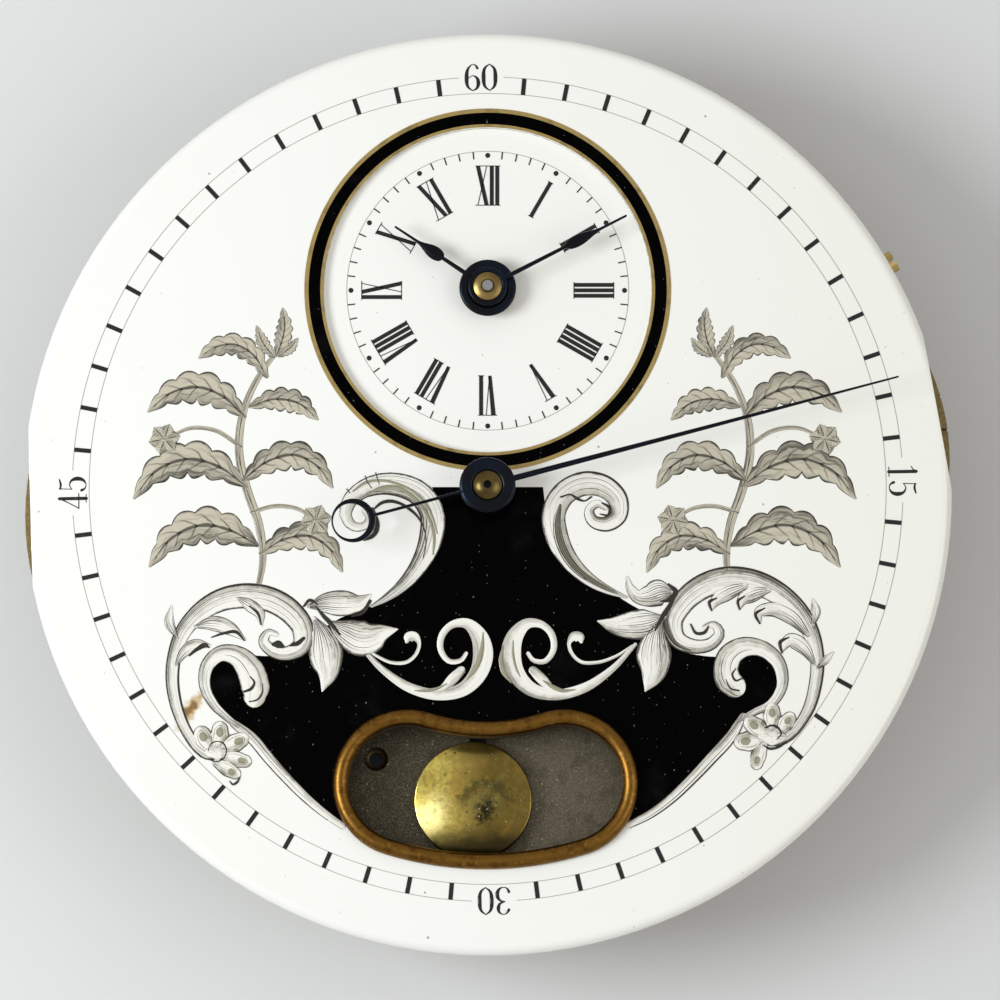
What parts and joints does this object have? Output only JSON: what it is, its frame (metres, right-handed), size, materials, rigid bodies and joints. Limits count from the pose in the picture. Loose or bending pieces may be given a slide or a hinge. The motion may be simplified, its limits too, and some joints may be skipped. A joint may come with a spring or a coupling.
{
  "type": "pocket watch movement",
  "caption": "Round key-wound watch movement with white enamel dial, sunk hour and minute dial, long centre seconds hand and a kidney window where a brass mock pendulum swings.",
  "frame": {"origin": "seconds arbor at the plane of the bridges' back faces, on which the movement lies", "axes": "+Z out of the dial, +Y to the top of the dial, +X to the right of the dial"},
  "size_m": [0.0466, 0.0464, 0.0134],
  "materials": {
    "gilt_plate": "frosted gilding",
    "enamel": "glossy fired enamel",
    "copper_bezel": "tarnished copper brass",
    "brass": "grained",
    "polished_brass": "polished, worn",
    "steel": "ground",
    "blued_steel": "heat blued",
    "ruby": "polished"
  },
  "bodies": {
    "frame": {"main_plate": "gilt_plate", "dial_ring": "gilt_plate", "dial": "enamel", "small_dial": "enamel", "window_bezel": "copper_bezel", "dial_feet": "copper_bezel", "dial_foot_screws": "brass", "case_screws": "steel", "barrel_bridge": "gilt_plate", "train_bridge": "gilt_plate", "seconds_bridge": "gilt_plate", "escape_bridge": "gilt_plate", "balance_cock": "gilt_plate", "bridge_screws": "blued_steel", "low_bridge_screws": "blued_steel", "steady_pins": "steel", "seconds_bush": "brass", "plate_jewel": "ruby", "cock_jewel": "ruby", "endstone": "ruby", "endstone_plate": "steel", "spring_stud": "steel", "click_screw": "blued_steel", "click_spring": "steel", "click_spring_screw": "blued_steel", "motion_stud": "steel"},
    "regulator": {"regulator": "steel"},
    "click": {"click": "steel"},
    "barrel": {"barrel_drum": "brass", "barrel_cover": "brass", "mainspring": "steel"},
    "winding": {"barrel_arbor": "steel", "ratchet_wheel": "steel"},
    "minute_train": {"minute_wheel": "brass", "minute_pinion": "steel"},
    "third": {"third_wheel": "brass", "third_pinion": "steel"},
    "seconds": {"seconds_wheel": "brass", "seconds_pinion": "steel", "seconds_hand": "blued_steel", "seconds_hand_bush": "brass"},
    "escape": {"escape_wheel": "steel", "escape_pinion": "steel"},
    "balance": {"balance_wheel": "brass", "counterpoise": "gilt_plate", "balance_staff": "steel", "cylinder": "steel", "spring_collet": "brass", "balance_spring": "blued_steel", "pendulum_arm": "steel", "pendulum_disc": "polished_brass"},
    "minute_hand": {"set_arbor": "steel", "set_square": "steel", "cannon_pinion": "steel", "minute_hand": "blued_steel", "minute_hand_bush": "brass"},
    "motion": {"motion_wheel": "brass", "motion_pinion": "steel"},
    "hour_hand": {"hour_wheel": "brass", "hour_hand": "blued_steel"}
  },
  "joints": [
    {"name": "seconds_turn", "type": "hinge", "parent": "frame", "child": "seconds", "pos_m": [0, 0, 0.008], "axis": [0, 0, -1], "continuous": true},
    {"name": "third_turn", "type": "hinge", "parent": "frame", "child": "third", "pos_m": [0.00205, 0.00467, 0.004], "axis": [0, 0, -1], "continuous": true},
    {"name": "minute_wheel_turn", "type": "hinge", "parent": "frame", "child": "minute_train", "pos_m": [0, 0.01015, 0.004], "axis": [0, 0, -1], "continuous": true},
    {"name": "barrel_turn", "type": "hinge", "parent": "frame", "child": "barrel", "pos_m": [-0.00695, 0.01201, 0.004], "axis": [0, 0, -1], "continuous": true},
    {"name": "escape_turn", "type": "hinge", "parent": "frame", "child": "escape", "pos_m": [0.00259, -0.00409, 0.004], "axis": [0, 0, -1], "continuous": true},
    {"name": "hand_setting", "type": "hinge", "parent": "frame", "child": "minute_hand", "pos_m": [0, 0.01015, 0.008], "axis": [0, 0, -1], "continuous": true},
    {"name": "motion_turn", "type": "hinge", "parent": "frame", "child": "motion", "pos_m": [0.00336, 0.01015, 0.0085], "axis": [0, 0, -1], "continuous": true},
    {"name": "hour_hand_turn", "type": "hinge", "parent": "frame", "child": "hour_hand", "pos_m": [0, 0.01015, 0.009], "axis": [0, 0, -1], "continuous": true},
    {"name": "balance_swing", "type": "hinge", "parent": "frame", "child": "balance", "pos_m": [0, -0.0056, 0.004], "axis": [0, 0, 1], "range_deg": [-95.75, 103.75], "stiffness_Nm_per_rad": 0.000003, "deforming": ["balance_spring"]},
    {"name": "winding", "type": "hinge", "parent": "frame", "child": "winding", "pos_m": [-0.00695, 0.01201, 0.001], "axis": [0, 0, -1], "range_deg": [0, 1620], "deforming": ["mainspring"]},
    {"name": "click_lift", "type": "hinge", "parent": "frame", "child": "click", "pos_m": [-0.00751, 0.00805, 0.0003], "axis": [0, 0, 1], "range_deg": [0, 8], "stiffness_Nm_per_rad": 0.0000001},
    {"name": "regulator_turn", "type": "hinge", "parent": "frame", "child": "regulator", "pos_m": [0, -0.0056, 0.0002], "axis": [0, 0, 1], "range_deg": [-18, 18]}
  ],
  "couplings": [
    {"joint": "third_turn", "follows": "seconds_turn", "ratio": -0.13333},
    {"joint": "minute_wheel_turn", "follows": "seconds_turn", "ratio": 0.016667},
    {"joint": "barrel_turn", "follows": "seconds_turn", "ratio": -0.0020833},
    {"joint": "escape_turn", "follows": "seconds_turn", "ratio": -10},
    {"joint": "motion_turn", "follows": "hand_setting", "ratio": -0.33333},
    {"joint": "hour_hand_turn", "follows": "hand_setting", "ratio": 0.083333}
  ]
}
